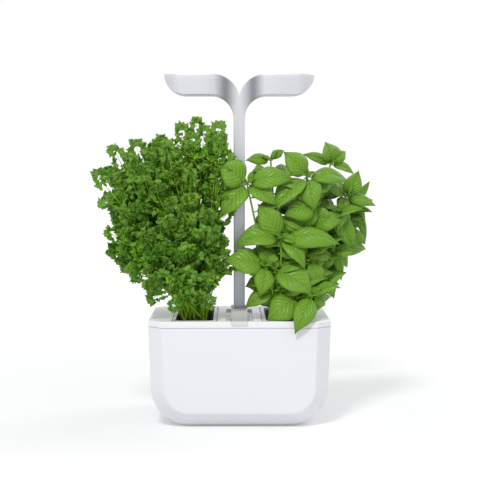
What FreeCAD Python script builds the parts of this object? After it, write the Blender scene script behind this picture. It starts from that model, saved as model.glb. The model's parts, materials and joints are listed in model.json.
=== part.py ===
"""Countertop hydroponic garden: casing, water tank, deck, two growing pods and a sprout-shaped lamp.

Millimetres. X runs to the right, Y to the back, Z up. The origin is the middle of the footprint,
on the surface that the garden stands on.
"""

import FreeCAD
import Part
import math
import os

Vector = FreeCAD.Vector
UP = Vector(0, 0, 1)
BACK = Vector(0, 1, 0)
RIGHT = Vector(1, 0, 0)

# Base casing: a U seen from the front, framed by a bevel at the front and at the rear.
base_width = 200.0
base_depth = 168.0
half_width = base_width / 2
half_depth = base_depth / 2
foot_height = 1.6
casing_top = 110.0
casing_draft = 2.3
corner_radius = 42.0
bevel_width = 15.0
bevel_depth = 16.0
bevel_growth = math.tan(math.radians(22.5))
crease_radius = 4.0
casing_wall = 2.6
ledge_drop = 6.0
ledge_top = casing_top - ledge_drop
ledge_height = 3.0
ledge_reach = 3.2

# Rubber feet
foot_radius = 8.0
foot_inset_x = 56.0
foot_inset_y = 34.0
foot_x = half_width - foot_inset_x
foot_y = half_depth - foot_inset_y
foot_seat = 0.9
foot_round = 0.8

# Water tank
tank_inset = 6.0
tank_wall = 2.0
tank_flange = 2.0
tank_floor = foot_height + tank_inset + tank_wall
nest_clearance = 0.4

# Deck: the lid over the tank
lid_height = 7.5
lid_top = casing_top + lid_height
seam_gap = 0.4
plate_thickness = 2.5
plate_bottom = lid_top - plate_thickness
lid_edge_radius = 2.2
lip_thickness = 1.8
lip_inset = casing_wall + nest_clearance
overlap = 0.5
recess_half_width = 15.0
recess_front_margin = 6.0
recess_rear_margin = 39.0
recess_front = recess_front_margin - half_depth
recess_rear = half_depth - recess_rear_margin
recess_depth = 3.5
recess_floor = lid_top - recess_depth
recess_wall = 2.0

# Growing pods
rim_inner_margin = 10.1
rim_outer_margin = 26.0
rim_front_margin = 3.5
rim_rear_margin = 16.0
rim_inner = recess_half_width + rim_inner_margin
rim_outer = half_width - rim_outer_margin
rim_front = rim_front_margin - half_depth
rim_rear = half_depth - rim_rear_margin
rim_height = 3.0
rim_radius = 5.0
rim_land_front = 3.5
pod_ledge = lid_top - rim_height
cup_draw = 2.3
cup_depth = 47.5
cup_bottom = lid_top - cup_depth
cup_taper = 3.0
cup_wall = 1.8
pod_gap = 0.3
pod_finger_gap = 1.2
frame_width = 1.6
substrate_drop = 3.0
soil_top = lid_top - substrate_drop
wick_width = 30.0
wick_thickness = 3.0
wick_y = -6.0
wick_clearance = 11.4
wick_hold = 22.0
wick_bottom = tank_floor + wick_clearance
wick_top = cup_bottom + wick_hold

# Lamp stem and the guide that it slides in
stem_width = 12.5
stem_depth = 30.0
stem_hold = 34.0
stem_bottom = casing_top - stem_hold
slide_gap = 0.3
guide_wall = 2.0
guide_clearance = 2.0
guide_floor = tank_floor + guide_clearance + guide_wall
flange_thickness = 2.0
guide_top = recess_floor - plate_thickness - flange_thickness
flange_screw_offset = 3.9
flange_edge = 3.3
flange_screw_x = recess_half_width + flange_screw_offset
flange_screw_y = 14.0
flange_half_x = flange_screw_x + flange_edge
flange_half_y = 20.0
boss_radius = 2.9
conduit_width = 8.0
conduit_depth = 7.7

# Lamp head: a stem that splits into two leaf arms
head_bottom = 365.8
head_height = 23.1
head_top = head_bottom + head_height
bend_radius = 26.0
crown_radius = 30.5
notch_half_width = 0.6
notch_rise = 1.1
notch_height = head_bottom + notch_rise
crown_x = crown_radius - notch_half_width
tip_x = 61.0
tip_radius = 23.6
leaf_tip_x = 84.6
leaf_half_depth = 22.0
leaf_tip_half_depth = 11.0
shell_wall = 1.8

# Lamp fittings
foot_plug_height = 4.0
foot_spigot = 10.0
window_start = 28.0
window_end = 60.0
window_half_depth = 13.0
window_radius = 4.0
diffuser_lip = 1.2
fit_gap = 0.2
board_thickness = 1.6
board_rise = 1.6
led_size = 3.0
led_height = 1.0
led_columns = 4
led_rows = 3
ribbon_width = 6.0
ribbon_thickness = 0.8
ribbon_gap = 0.4
shell_screw_x = (-68.0, -19.0, 19.0, 68.0)
shell_screw_rise = (13.7, 10.7, 10.7, 13.7)
shell_screw_seat = 13.0
shell_screw_reach = 10.0
shell_boss_radius = 3.2
shell_seat_radius = 3.9

# Screws
screw_shank = 1.2
screw_head = 2.3
screw_head_height = 1.6
screw_cover = 1.6

# Electronics box at the rear
box_half_width = 21.0
box_depth = 34.0
box_front = half_depth - box_depth
box_height = 23.8
box_top = casing_top - fit_gap
box_bottom = box_top - box_height
box_wall = 1.8
box_gap = 0.3
box_screw_x = 16.4
box_screw_y = box_front + 6.0
box_post_radius = 3.4
box_head_seat = box_top - 8.0
board_setback = 10.0
board_face = half_depth - board_setback
board_half_width = box_half_width - 3.0
board_low = box_bottom + 3.0
board_high = box_top - 2.8
board_rib = 4.0
tank_notch_margin = 3.0
tank_notch_half = box_half_width + tank_notch_margin
tank_notch_bottom = box_bottom - 2.0
inlet_x = 10.0
button_x = -10.0
control_z = box_bottom + 12.0
inlet_half_width = 4.5
inlet_half_height = 5.5
inlet_bore = 2.75
inlet_depth = 9.5
button_radius = 4.2
button_flange = 5.4
button_flange_thickness = 1.6
button_travel = 1.5
button_proud = 1.0
switch_half = 3.1
switch_height = 2.4
plunger_radius = 1.7

# Leads
coil_diameter = 9.0
lead_diameter = 3.2
lead_rise_y = stem_depth / 2 + slide_gap + guide_wall + 5.0
lead_high = guide_top - 3.0
lead_bend = 6.0

# Height clip
clip_front_margin = 39.0
clip_front = clip_front_margin - half_depth
clip_rear = stem_depth / 2 - 3.0
clip_cheek = 3.0
clip_half_width = stem_width / 2 + clip_cheek
clip_slot_gap = 1.0
clip_front_top = lid_top + 6.8
clip_rear_top = lid_top + 8.5
clip_nose = 3.0
ear_half_width = clip_half_width + 2.05
ear_length = 9.0
tongue_half_width = 8.5
tongue_thickness = 2.2
tongue_drop = 4.5
tongue_proud = 1.2

# Plants
leaf_thickness = 1.0
stalk_radius = 1.1
parsley_stalk_radius = 0.8
pad_thickness = 1.2


def box(x0, x1, y0, y1, z0, z1):
    return Part.makeBox(x1 - x0, y1 - y0, z1 - z0, Vector(x0, y0, z0))


def slab(z0, z1):
    return box(-base_width, base_width, -base_depth, base_depth, z0, z1)


def round_box(x0, x1, y0, y1, z0, z1, radius):
    """Box with its upright edges rounded."""
    solid = box(x0, x1, y0, y1, z0, z1)
    upright = [e for e in solid.Edges if abs(e.tangentAt(e.FirstParameter).z) > 0.9]
    return solid.makeFillet(radius, upright)


def disc(x, y, z0, z1, radius):
    return Part.makeCylinder(radius, z1 - z0, Vector(x, y, z0), UP)


def rod_y(x, z, y0, y1, radius):
    return Part.makeCylinder(radius, y1 - y0, Vector(x, y0, z), BACK)


def line(a, b):
    return Part.LineSegment(a, b).toShape()


def arc(a, middle, b):
    return Part.Arc(a, middle, b).toShape()


def mirrored(shape):
    return shape.mirror(Vector(0, 0, 0), RIGHT)


def one_solid(shape):
    """The single solid that a boolean result holds, with its split faces joined."""
    return shape.removeSplitter().Solids[0]


def save(name, shape):
    shape.exportStep(os.path.join("parts", name + ".step"))


# The base's outer form

def outline(inset, y, z_top):
    """U-shaped outline in the plane at y, drawn in from the widest outline by inset."""
    draft = math.radians(casing_draft)
    radius = corner_radius - inset
    centre_z = foot_height + corner_radius
    centre_x = half_width + ((centre_z - casing_top) * math.sin(draft) - corner_radius) / math.cos(draft)
    middle_turn = (draft + math.pi / 2) / 2

    def on_corner(turn):
        return centre_x + radius * math.cos(turn), centre_z - radius * math.sin(turn)

    side_x, side_z = on_corner(draft)
    top_x = side_x + (z_top - side_z) * math.tan(draft)
    half = [(top_x, z_top), (side_x, side_z), on_corner(middle_turn), on_corner(math.pi / 2)]
    right = [Vector(x, y, z) for x, z in half]
    left = [Vector(-x, y, z) for x, z in half]
    edges = [line(left[0], left[1]), arc(left[1], left[2], left[3]), line(left[3], right[3])]
    edges += [arc(right[3], right[2], right[1]), line(right[1], right[0]), line(right[0], left[0])]
    return Part.Wire(edges)


def form(inset, z_top):
    """The base's form, drawn in on every side by inset and open to z_top."""
    face_inset = bevel_width + bevel_growth * inset
    face_y = half_depth - inset
    crease_y = half_depth - bevel_depth - bevel_growth * inset
    sections = [
        outline(face_inset, -face_y, z_top),
        outline(inset, -crease_y, z_top),
        outline(inset, crease_y, z_top),
        outline(face_inset, face_y, z_top),
    ]
    solid = Part.makeLoft(sections, True, True)
    return solid if solid.Volume > 0 else solid.reversed()


def layer(inset, z0, z1):
    return form(inset, z1).common(slab(z0, z1 + 1))


def softened(solid, radius):
    """Rounds the creases between the flat faces and the bevels, front and rear."""
    crease_y = half_depth - bevel_depth
    places = (half_depth, crease_y)
    creases = []
    for edge in solid.Edges:
        bounds = edge.BoundBox
        if bounds.YLength < 0.01 and any(abs(abs(bounds.YMin) - y) < 0.01 for y in places):
            if bounds.ZMax < casing_top - 0.01 or bounds.ZLength > 1.0:
                creases.append(edge)
    return solid.makeFillet(radius, creases)


# Casing and feet

def outer_casing():
    shell = softened(form(0, casing_top), crease_radius)
    shell = shell.cut(form(casing_wall, casing_top + 1))
    ledge = layer(casing_wall / 2, ledge_top - ledge_height, ledge_top)
    ledge = ledge.cut(form(casing_wall + ledge_reach, casing_top))
    shell = shell.fuse(ledge)
    notch = box_half_width + box_gap
    rear_cut = box(-notch, notch, box_front, base_depth, box_bottom - box_gap, casing_top + 1)
    shell = shell.cut(rear_cut)
    for x, y in foot_places():
        shell = shell.cut(disc(x, y, 0, foot_height + foot_seat, foot_radius + fit_gap))
    return one_solid(shell)


def foot_places():
    return [(x, y) for x in (-foot_x, foot_x) for y in (-foot_y, foot_y)]


def casing_feet():
    feet = []
    for x, y in foot_places():
        foot = disc(x, y, 0, foot_height + foot_seat, foot_radius)
        sole = [e for e in foot.Edges if e.BoundBox.ZMax < 0.01]
        feet.append(foot.makeFillet(foot_round, sole))
    return Part.makeCompound(feet)


# Water tank

def water_tank():
    flange_bottom = ledge_top
    flange_top = ledge_top + tank_flange
    body = form(tank_inset, flange_top)
    flange = layer(lip_inset, flange_bottom, flange_top)
    tank = body.fuse(flange).cut(form(tank_inset + tank_wall, flange_top + 1))
    notch_front = half_depth - tank_inset - tank_wall - 1
    notch = box(-tank_notch_half, tank_notch_half, notch_front, base_depth, tank_notch_bottom, casing_top)
    return one_solid(tank.cut(notch))


# Deck

def deck_openings(side):
    """Cuts for one pod: the rim's seat above and the way for the cup below."""
    x0 = rim_inner - pod_finger_gap
    x1 = rim_outer + pod_gap
    seat = round_box(x0, x1, rim_front - pod_gap, rim_rear + pod_gap, pod_ledge, lid_top + 1, rim_radius)
    cup_x0, cup_x1, cup_y0, cup_y1 = cup_box(pod_gap)
    way = round_box(cup_x0, cup_x1, cup_y0, cup_y1, casing_top - 1, lid_top, rim_radius)
    cuts = seat.fuse(way)
    return cuts if side > 0 else mirrored(cuts)


def cup_box(grow):
    x0 = rim_inner + cup_draw - grow
    x1 = rim_outer - cup_draw + grow
    y0 = rim_front + cup_draw + rim_land_front - grow
    y1 = rim_rear - cup_draw - rim_land_front + grow
    return x0, x1, y0, y1


def pod_frame(side):
    x0 = rim_inner - pod_finger_gap - frame_width
    x1 = rim_outer + pod_gap + frame_width
    y0 = rim_front - pod_gap - frame_width
    y1 = rim_rear + pod_gap + frame_width
    frame = round_box(x0, x1, y0, y1, pod_ledge - plate_thickness, plate_bottom + overlap, rim_radius)
    return frame if side > 0 else mirrored(frame)


def stem_hole(z0, z1):
    x = stem_width / 2 + slide_gap
    y = stem_depth / 2 + slide_gap
    return box(-x, x, -y, y, z0, z1)


def flange_screws():
    return [(x, y) for x in (-flange_screw_x, flange_screw_x) for y in (-flange_screw_y, flange_screw_y)]


def deck_cover():
    lid = layer(0, casing_top + seam_gap, lid_top)
    uprights = [e for e in lid.Edges if e.BoundBox.XLength < 1 and e.BoundBox.YLength < 0.01]
    lid = lid.makeFillet(crease_radius, [e for e in uprights if e.BoundBox.ZLength > 1])
    rim = [e for e in lid.Edges if e.BoundBox.ZMin > lid_top - 0.01]
    lid = lid.makeFillet(lid_edge_radius, rim)
    inner = lip_inset + lip_thickness
    lid = lid.cut(form(inner, plate_bottom))
    lip_bottom = ledge_top + tank_flange + fit_gap
    lip = layer(lip_inset, lip_bottom, casing_top + 2).cut(form(inner, casing_top + 3))
    lid = lid.fuse(lip)
    pan_x = recess_half_width + recess_wall
    pan_bottom = guide_top + flange_thickness
    pan_front = -half_depth + inner - overlap
    lid = lid.fuse(box(-pan_x, pan_x, pan_front, recess_rear + recess_wall, pan_bottom, plate_bottom + overlap))
    for side in (-1, 1):
        lid = lid.fuse(pod_frame(side))
    for x, y in flange_screws():
        lid = lid.fuse(disc(x, y, pan_bottom, plate_bottom + overlap, boss_radius))
    for x in (-box_screw_x, box_screw_x):
        lid = lid.fuse(disc(x, box_screw_y, box_top, plate_bottom + overlap, box_post_radius))
    recess = round_box(
        -recess_half_width, recess_half_width, recess_front, recess_rear, recess_floor, lid_top + 1, clip_nose
    )
    lid = lid.cut(recess)
    notch = tongue_half_width + pod_gap
    lid = lid.cut(box(-notch, notch, -half_depth - 1, recess_front + 2, recess_floor, lid_top + 1))
    for side in (-1, 1):
        lid = lid.cut(deck_openings(side))
    lid = lid.cut(stem_hole(pan_bottom - 1, lid_top))
    for x, y in flange_screws():
        lid = lid.cut(disc(x, y, pan_bottom - 1, lid_top - screw_cover + 0.4, screw_shank + 0.05))
    for x in (-box_screw_x, box_screw_x):
        lid = lid.cut(disc(x, box_screw_y, box_top - 1, lid_top - screw_cover + 0.4, screw_shank + 0.05))
    rear = box_half_width + box_gap
    lid = lid.cut(box(-rear, rear, half_depth - inner - 1, base_depth, 0, casing_top + seam_gap))
    return one_solid(lid)


# Stem guide

def guide_outer():
    x = stem_width / 2 + slide_gap + guide_wall
    y = stem_depth / 2 + slide_gap + guide_wall
    return x, y


def stem_guide():
    x, y = guide_outer()
    bottom = guide_floor - guide_wall
    guide = round_box(-x, x, -y, y, bottom, guide_top + flange_thickness, 1.5)
    cell = conduit_width / 2
    guide = guide.fuse(box(-cell, cell, y - 1, y - 1 + conduit_depth, bottom, guide_top))
    flange = round_box(
        -flange_half_x, flange_half_x, -flange_half_y, flange_half_y, guide_top, guide_top + flange_thickness, 3.0
    )
    guide = guide.fuse(flange).cut(stem_hole(guide_floor, casing_top + plate_thickness))
    route = board_lead(fit_gap)
    guide = guide.cut(route)
    for px, py in flange_screws():
        guide = guide.cut(disc(px, py, guide_top - 1, guide_top + flange_thickness + 1, screw_shank + fit_gap))
    return one_solid(guide)


def guide_screws():
    screws = []
    for x, y in flange_screws():
        head = disc(x, y, guide_top - screw_head_height, guide_top, screw_head)
        shank = disc(x, y, guide_top, lid_top - screw_cover, screw_shank)
        screws.append(one_solid(head.fuse(shank)))
    return Part.makeCompound(screws)


# Leads

def bent_tube(points, radius, bend):
    """Tube along straight runs joined by tangent arcs of one radius, in the plane X = 0."""
    edges = []
    start = points[0]
    for before, corner, after in zip(points, points[1:], points[2:]):
        to_before = (before - corner).normalize()
        to_after = (after - corner).normalize()
        half_angle = to_before.getAngle(to_after) / 2
        reach = bend / math.tan(half_angle)
        first = corner + to_before * reach
        last = corner + to_after * reach
        bisector = (to_before + to_after).normalize()
        middle = corner + bisector * (bend / math.sin(half_angle) - bend)
        edges.append(line(start, first))
        edges.append(arc(first, middle, last))
        start = last
    edges.append(line(start, points[-1]))
    path = Part.Wire(edges)
    along = (points[1] - points[0]).normalize()
    section = Part.Wire([Part.makeCircle(radius, points[0], along)])
    return path.makePipeShell([section], True, True)


def lead_points():
    low = guide_floor + lead_diameter / 2 + 0.4
    start_y = coil_diameter / 2
    return [
        Vector(0, start_y, low),
        Vector(0, lead_rise_y, low),
        Vector(0, lead_rise_y, lead_high),
        Vector(0, box_front + 3, lead_high),
    ]


def board_lead(grow=0.0):
    return bent_tube(lead_points(), lead_diameter / 2 + grow, lead_bend)


def lamp_lead():
    return disc(0, 0, guide_floor, stem_bottom, coil_diameter / 2)


# Electronics box and what it holds

def electronics_box():
    w = box_half_width
    shell = round_box(-w, w, box_front, half_depth, box_bottom, box_top, 2.0)
    inner_w = w - box_wall
    inner_rear = half_depth - box_wall
    inner_bottom = box_bottom + box_wall
    cavity = round_box(-inner_w, inner_w, box_front + box_wall, inner_rear, inner_bottom, box_top + 1, 1.0)
    shell = shell.cut(cavity)
    for x in (-box_screw_x, box_screw_x):
        post = disc(x, box_screw_y, box_bottom, box_top, box_post_radius)
        inside = box(overlap - w, w - overlap, box_front + overlap, half_depth, box_bottom, box_top)
        shell = shell.fuse(post.common(inside))
        shell = shell.cut(disc(x, box_screw_y, box_bottom - 1, box_head_seat, screw_head + fit_gap))
        shell = shell.cut(disc(x, box_screw_y, box_head_seat - 1, box_top + 1, screw_shank + fit_gap))
    rear = half_depth - box_wall - 1
    inlet_x0 = inlet_x - inlet_half_width - fit_gap
    inlet_x1 = inlet_x + inlet_half_width + fit_gap
    inlet_z0 = control_z - inlet_half_height - fit_gap
    inlet_z1 = control_z + inlet_half_height + fit_gap
    shell = shell.cut(box(inlet_x0, inlet_x1, rear, half_depth + 1, inlet_z0, inlet_z1))
    shell = shell.cut(rod_y(button_x, control_z, rear, half_depth + 1, button_radius + pod_gap))
    shell = shell.cut(rod_y(0, lead_high, box_front - 1, box_front + box_wall + 1, lead_diameter / 2 + fit_gap))
    return one_solid(shell)


def box_screws():
    screws = []
    for x in (-box_screw_x, box_screw_x):
        head = disc(x, box_screw_y, box_head_seat - screw_head_height, box_head_seat, screw_head)
        shank = disc(x, box_screw_y, box_head_seat, lid_top - screw_cover, screw_shank)
        screws.append(one_solid(head.fuse(shank)))
    return Part.makeCompound(screws)


def control_board():
    w = board_half_width
    board = round_box(-w, w, board_face - board_thickness, board_face, board_low, board_high, 0.5)
    ribs = []
    for x in (board_rib - w, w - board_rib):
        ribs.append(box(x - 2, x + 2, board_face - 7, board_face - board_thickness, board_low + 3, board_low + 9))
    return one_solid(board.multiFuse(ribs))


def power_inlet():
    x0 = inlet_x - inlet_half_width
    x1 = inlet_x + inlet_half_width
    jack = box(x0, x1, board_face, half_depth, control_z - inlet_half_height, control_z + inlet_half_height)
    jack = jack.cut(rod_y(inlet_x, control_z, half_depth - inlet_depth, half_depth + 1, inlet_bore))
    return one_solid(jack)


def tact_switch():
    z0 = control_z - switch_half
    z1 = control_z + switch_half
    body = box(button_x - switch_half, button_x + switch_half, board_face, board_face + switch_height, z0, z1)
    plunger = rod_y(button_x, control_z, board_face + switch_height, plunger_end(), plunger_radius)
    return one_solid(body.fuse(plunger))


def plunger_end():
    return half_depth - box_wall - pod_gap - button_flange_thickness - button_travel - pod_gap


def power_button():
    flange_rear = half_depth - box_wall - pod_gap
    flange_front = flange_rear - button_flange_thickness
    cap = rod_y(button_x, control_z, flange_front, half_depth + button_proud, button_radius)
    face = [e for e in cap.Edges if e.BoundBox.YMin > half_depth + button_proud - 0.01]
    cap = cap.makeFillet(0.5, face)
    flange = rod_y(button_x, control_z, flange_front, flange_rear, button_flange)
    return one_solid(cap.fuse(flange))


# Height clip

def side_profile(points, half):
    """Solid with the given outline in Y and Z, half to each side of X = 0."""
    corners = [Vector(-half, y, z) for y, z in points]
    face = Part.Face(Part.makePolygon(corners + corners[:1]))
    return face.extrude(Vector(2 * half, 0, 0))


def height_clip():
    bottom = recess_floor + fit_gap
    block = side_profile(
        [
            (clip_front, bottom),
            (clip_rear, bottom),
            (clip_rear, clip_rear_top),
            (-stem_depth / 2 - 3, clip_rear_top),
            (clip_front + clip_nose, clip_front_top),
            (clip_front, clip_front_top - clip_nose),
        ],
        clip_half_width,
    )
    ears = round_box(
        -ear_half_width,
        ear_half_width,
        clip_front,
        clip_front + ear_length,
        bottom,
        clip_front_top - clip_nose,
        1.5,
    )
    tongue_top = lid_top + 0.1
    tongue_bottom = tongue_top - tongue_thickness
    nose = -half_depth - tongue_proud
    tongue = side_profile(
        [
            (clip_front + 1, tongue_bottom),
            (clip_front + 1, tongue_top),
            (nose + 1.2, tongue_top),
            (nose, tongue_top - 1.6),
            (nose, tongue_top - tongue_drop),
            (nose + tongue_proud - fit_gap, tongue_top - tongue_drop),
            (nose + tongue_proud - fit_gap, tongue_bottom),
        ],
        tongue_half_width,
    )
    slot = stem_width / 2 + slide_gap
    front = -stem_depth / 2 - clip_slot_gap
    clip = block.fuse(ears).fuse(tongue)
    clip = clip.cut(box(-slot, slot, front, clip_rear + 1, bottom - 1, clip_rear_top + 1))
    return one_solid(clip)


# Growing pods

def pod_cup():
    rim = round_box(rim_inner, rim_outer, rim_front, rim_rear, pod_ledge, lid_top, rim_radius)
    upper = [e for e in rim.Edges if e.BoundBox.ZMin > lid_top - 0.01]
    rim = rim.makeFillet(0.9, upper)
    cup = rim.fuse(pod_taper(0, cup_bottom, pod_ledge + 1)).cut(soil_space(0, lid_top + 1))
    return one_solid(cup.cut(wick_strip(pod_gap)))


def pod_taper(inset, z0, z1):
    """Cup body from z0 to z1, narrower below, drawn in by inset."""
    slope = cup_taper / (pod_ledge - cup_bottom)
    wires = []
    for z in (z0, z1):
        draw = inset + slope * (pod_ledge - z)
        x0, x1, y0, y1 = cup_box(-draw)
        wires.append(round_wire(x0, x1, y0, y1, z, rim_radius - 1))
    return Part.makeLoft(wires, True, True)


def round_wire(x0, x1, y0, y1, z, r):
    k = r * (1 - math.sqrt(0.5))
    v = [
        (x0 + r, y0), (x1 - r, y0), (x1 - k, y0 + k), (x1, y0 + r), (x1, y1 - r), (x1 - k, y1 - k),
        (x1 - r, y1), (x0 + r, y1), (x0 + k, y1 - k), (x0, y1 - r), (x0, y0 + r), (x0 + k, y0 + k),
    ]
    p = [Vector(x, y, z) for x, y in v]
    edges = []
    for i in range(0, 12, 3):
        edges.append(line(p[i], p[i + 1]))
        edges.append(arc(p[i + 1], p[i + 2], p[(i + 3) % 12]))
    return Part.Wire(edges)


def soil_space(grow, z_top):
    return pod_taper(cup_wall - grow, cup_bottom + cup_wall, z_top)


def wick_strip(grow):
    x = (rim_inner + rim_outer) / 2
    half = wick_width / 2 + grow
    thick = wick_thickness / 2 + grow
    return box(x - half, x + half, wick_y - thick, wick_y + thick, wick_bottom, wick_top + grow)


def pod_substrate():
    block = soil_space(-fit_gap, soil_top)
    return one_solid(block.cut(wick_strip(0.1)))


def save_pod(prefix, turn):
    pieces = {"pod_cup": pod_cup(), "substrate": pod_substrate(), "wick": wick_strip(0)}
    for name, shape in pieces.items():
        save(prefix + name, turn(shape))


# Lamp

def head_outline(inset, foot):
    """Front view of the stem and both leaf arms, drawn in by inset, from foot upwards."""
    stem_x = stem_width / 2 - inset
    bend_x = stem_width / 2 + bend_radius
    bend_z = head_bottom - bend_radius
    bend_r = bend_radius + inset
    low = head_bottom + inset
    top = head_top - inset
    tip_z = head_bottom + tip_radius
    tip_r = tip_radius - inset
    tip_end_x = tip_x + math.sqrt(tip_r**2 - (top - tip_z) ** 2)
    crown_z = head_top - crown_radius
    crown_r = crown_radius - inset
    notch_z = notch_height - 1.3 * inset
    notch_x = crown_x - math.sqrt(crown_r**2 - (notch_z - crown_z) ** 2)
    middle_turn = math.atan2(notch_z - crown_z, notch_x - crown_x)
    crown_turn = (middle_turn + math.pi / 2) / 2
    tip_turn = (math.atan2(top - tip_z, tip_end_x - tip_x) - math.pi / 2) / 2

    def at(x, z):
        return Vector(x, 0, z)

    diagonal = math.sqrt(0.5)
    half = [
        line(at(stem_x, foot), at(stem_x, bend_z)),
        arc(
            at(stem_x, bend_z),
            at(bend_x - bend_r * diagonal, bend_z + bend_r * diagonal),
            at(bend_x, low),
        ),
        line(at(bend_x, low), at(tip_x, low)),
        arc(
            at(tip_x, low),
            at(tip_x + tip_r * math.cos(tip_turn), tip_z + tip_r * math.sin(tip_turn)),
            at(tip_end_x, top),
        ),
        line(at(tip_end_x, top), at(crown_x, top)),
        arc(
            at(crown_x, top),
            at(crown_x + crown_r * math.cos(crown_turn), crown_z + crown_r * math.sin(crown_turn)),
            at(notch_x, notch_z),
        ),
    ]
    other = [mirrored(edge) for edge in half]
    joined = [line(at(-stem_x, foot), at(stem_x, foot)), line(at(notch_x, notch_z), at(-notch_x, notch_z))]
    return Part.Wire(Part.__sortEdges__(half + other + joined))


def head_plan(inset):
    """Top view: as deep as the stem in the middle, wider in the leaves, narrower at the tips."""
    tip = leaf_tip_x - inset
    knots = [
        (stem_width / 2, stem_depth / 2),
        (0.22 * leaf_tip_x, (stem_depth / 2 + leaf_half_depth) / 2),
        (0.37 * leaf_tip_x, leaf_half_depth),
        (0.67 * leaf_tip_x, leaf_half_depth),
        (0.88 * leaf_tip_x, 0.88 * leaf_half_depth),
        (tip, leaf_tip_half_depth),
    ]
    edges = []
    for side in (-1, 1):
        for rear in (-1, 1):
            points = [Vector(side * x, rear * (y - inset), 0) for x, y in knots]
            curve = Part.BSplineCurve()
            curve.interpolate(Points=points, InitialTangent=RIGHT * side, FinalTangent=Vector(side, -1.4 * rear, 0))
            edges.append(curve.toShape())
            waist = Vector(0, points[0].y, 0)
            edges.append(line(waist, points[0]))
        end_y = leaf_tip_half_depth - inset
        edges.append(line(Vector(side * tip, end_y, 0), Vector(side * tip, -end_y, 0)))
    return Part.Wire(Part.__sortEdges__(edges))


def lamp_form(inset, foot):
    front_view = Part.Face(head_outline(inset, foot)).extrude(Vector(0, base_depth, 0))
    front_view.translate(Vector(0, -half_depth, 0))
    top_view = Part.Face(head_plan(inset)).extrude(Vector(0, 0, 2 * head_top))
    return one_solid(front_view.common(top_view))


def window(grow, z0, z1, side):
    x0 = window_start - grow
    x1 = window_end + grow
    y = window_half_depth + grow
    plate = round_box(x0, x1, -y, y, z0, z1, window_radius + grow)
    return plate if side > 0 else mirrored(plate)


def lamp_shells():
    body = lamp_form(0, stem_bottom + foot_plug_height)
    hollow = lamp_form(shell_wall, stem_bottom)
    shell = body.cut(hollow)
    front_bosses = []
    rear_bosses = []
    for x, z in shell_screw_places():
        front_bosses.append(rod_y(x, z, -leaf_half_depth, 0, shell_boss_radius).common(body))
        rear_bosses.append(rod_y(x, z, 0, leaf_half_depth, shell_seat_radius).common(body))
    shell = shell.multiFuse(front_bosses + rear_bosses)
    for side in (-1, 1):
        shell = shell.cut(window(fit_gap, head_bottom - 1, head_bottom + shell_wall + 1, side))
    seat = shell_screw_seat
    for x, z in shell_screw_places():
        shell = shell.cut(rod_y(x, z, seat, leaf_half_depth + 1, screw_head + fit_gap))
        shell = shell.cut(rod_y(x, z, 0, seat + 1, screw_shank + fit_gap))
        shell = shell.cut(rod_y(x, z, -shell_screw_reach - 0.5, 0, screw_shank + 0.05))
    front = shell.common(box(-base_width, base_width, -base_depth, 0, 0, 2 * head_top))
    rear = shell.common(box(-base_width, base_width, 0, base_depth, 0, 2 * head_top))
    return one_solid(front), one_solid(rear)


def shell_screw_places():
    return [(x, head_bottom + rise) for x, rise in zip(shell_screw_x, shell_screw_rise)]


def shell_screws():
    seat = shell_screw_seat
    screws = []
    for x, z in shell_screw_places():
        head = rod_y(x, z, seat, seat + screw_head_height, screw_head)
        shank = rod_y(x, z, -shell_screw_reach, seat, screw_shank)
        screws.append(one_solid(head.fuse(shank)))
    return Part.makeCompound(screws)


def lamp_foot():
    x = stem_width / 2
    y = stem_depth / 2
    plate = box(-x, x, -y, y, stem_bottom, stem_bottom + foot_plug_height)
    inner_x = x - shell_wall - fit_gap
    inner_y = y - shell_wall - fit_gap
    top = stem_bottom + foot_plug_height + foot_spigot
    spigot = box(-inner_x, inner_x, -inner_y, inner_y, stem_bottom + foot_plug_height, top)
    gland = box(-inner_x + 1.2, inner_x - 1.2, -inner_y + 1.2, inner_y - 1.2, stem_bottom + 2, top + 1)
    return one_solid(plate.fuse(spigot).cut(gland).cut(disc(0, 0, stem_bottom - 1, stem_bottom + 3, 1.5)))


def diffuser(side):
    pane = window(0, head_bottom, head_bottom + shell_wall, side)
    lip_z = head_bottom + shell_wall
    lip = window(diffuser_lip, lip_z, lip_z + diffuser_lip, side)
    board_z = lip_z + diffuser_lip + board_rise
    posts = []
    for x in (window_start + 1.5, window_end - 1.5):
        for y in (-window_half_depth + 3, window_half_depth - 3):
            posts.append(disc(side * x, y, lip_z, board_z, 1.5))
    return one_solid(pane.multiFuse([lip] + posts))


def led_board(side):
    z0 = head_bottom + shell_wall + diffuser_lip + board_rise
    return window(0.5, z0, z0 + board_thickness, side)


def led_group(side):
    z1 = head_bottom + shell_wall + diffuser_lip + board_rise
    x_pitch = (window_end - window_start) / (led_columns + 1)
    y_pitch = 2 * window_half_depth / (led_rows + 1)
    leds = []
    for column in range(led_columns):
        for row in range(led_rows):
            x = side * (window_start + x_pitch * (column + 1))
            y = -window_half_depth + y_pitch * (row + 1)
            half = led_size / 2
            leds.append(box(x - half, x + half, y - half, y + half, z1 - led_height, z1))
    return Part.makeCompound(leds)


def ribbon(side):
    """Flat cable along the inner wall, from the foot plug round the bend to the diffuser."""
    foot = stem_bottom + foot_plug_height + foot_spigot + 1
    outer = Part.Face(head_outline(shell_wall + ribbon_gap, foot))
    inner = Part.Face(head_outline(shell_wall + ribbon_gap + ribbon_thickness, foot - 1))
    strip = outer.cut(inner).extrude(Vector(0, ribbon_width, 0))
    strip.translate(Vector(0, -ribbon_width / 2, 0))
    end = window_start - diffuser_lip - 1
    keep_top = head_bottom + shell_wall + ribbon_gap + ribbon_thickness + 0.01
    keep = box(0, end, -ribbon_width, ribbon_width, 0, keep_top)
    piece = max(strip.common(keep).Solids, key=lambda solid: solid.Volume)
    return piece if side > 0 else mirrored(piece)


# Plants: stalks with flat leaves, each plant one solid

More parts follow.
